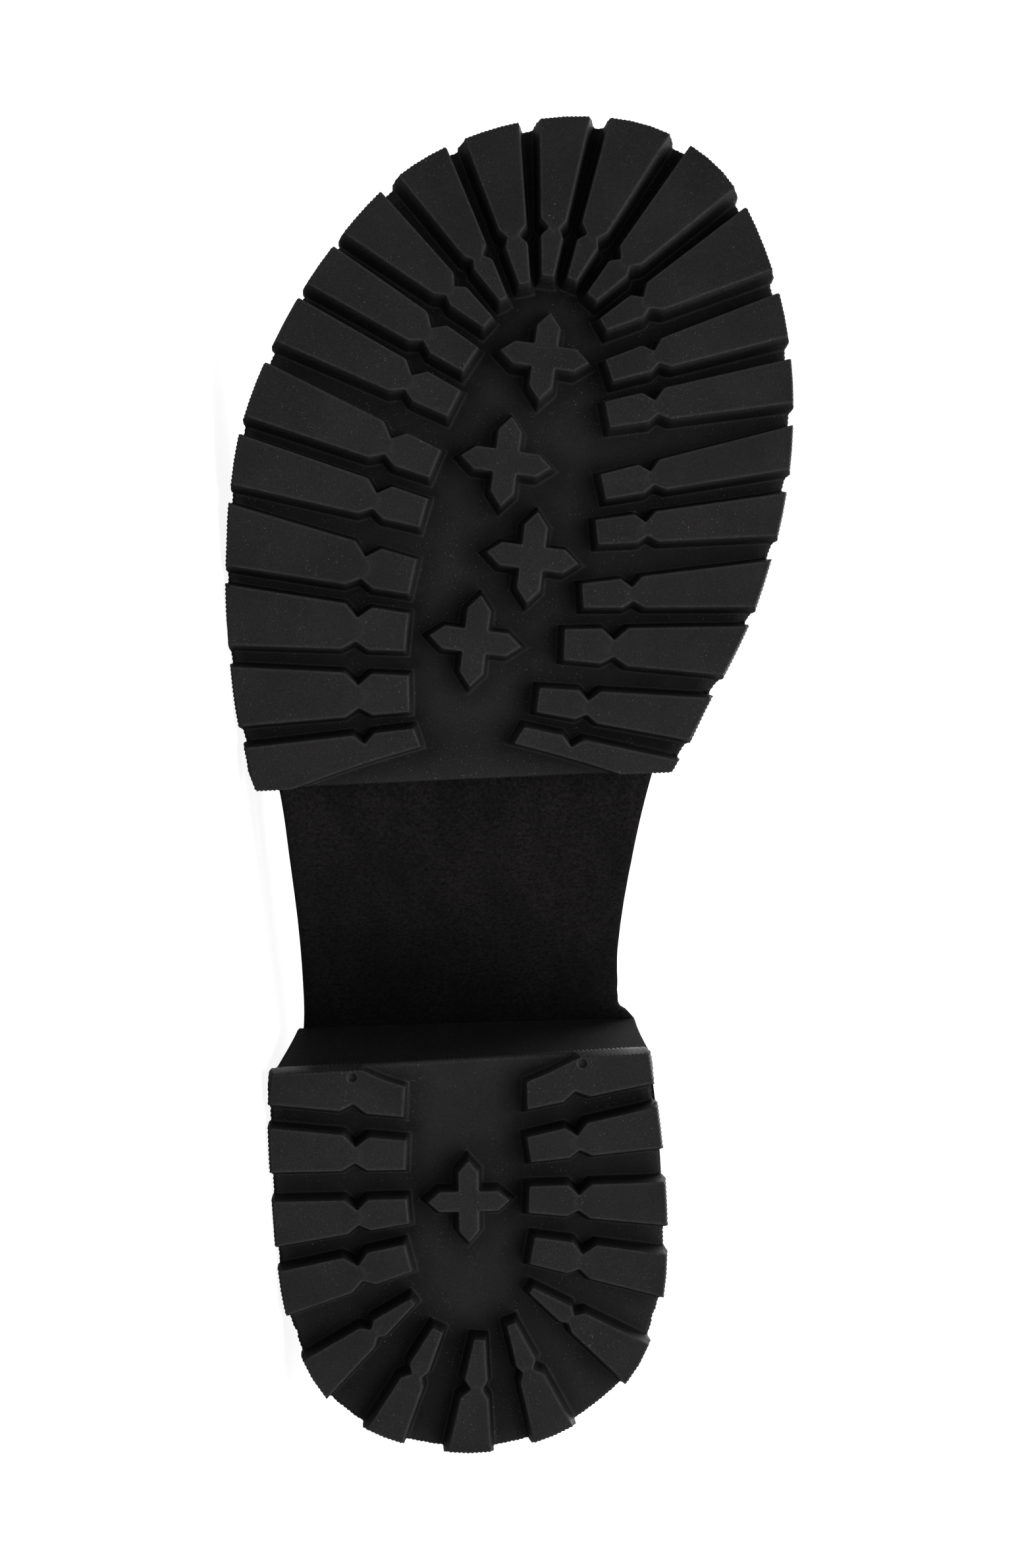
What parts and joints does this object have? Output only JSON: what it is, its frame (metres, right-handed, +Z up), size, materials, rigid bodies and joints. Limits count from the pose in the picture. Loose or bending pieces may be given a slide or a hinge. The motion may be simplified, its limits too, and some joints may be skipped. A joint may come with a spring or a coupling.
{
  "type": "platform slingback sandal",
  "caption": "Right platform slingback sandal with a lugged rubber sole, wide block heel, open-toe vamp and sling strap, lying on its outer side.",
  "frame": {"origin": "bottom centre of the box of the lying shoe, on the surface that it lies on", "axes": "the toe points to -X, turned by 4.4 degrees in the XZ plane; the sole faces -Y and looks up by 3 degrees; +Z is up, towards the inner side of the foot"},
  "size_m": [0.2462, 0.1298, 0.1078],
  "materials": {
    "tread_rubber": "matte",
    "suede_wrap": "matte",
    "footbed": "matte",
    "upper_leather": "satin"
  },
  "bodies": {
    "root": {"outsole_forefoot": "tread_rubber", "heel_top_piece": "tread_rubber", "platform": "suede_wrap", "heel_block": "suede_wrap", "insole": "footbed", "upper": "upper_leather"}
  },
  "joints": []
}
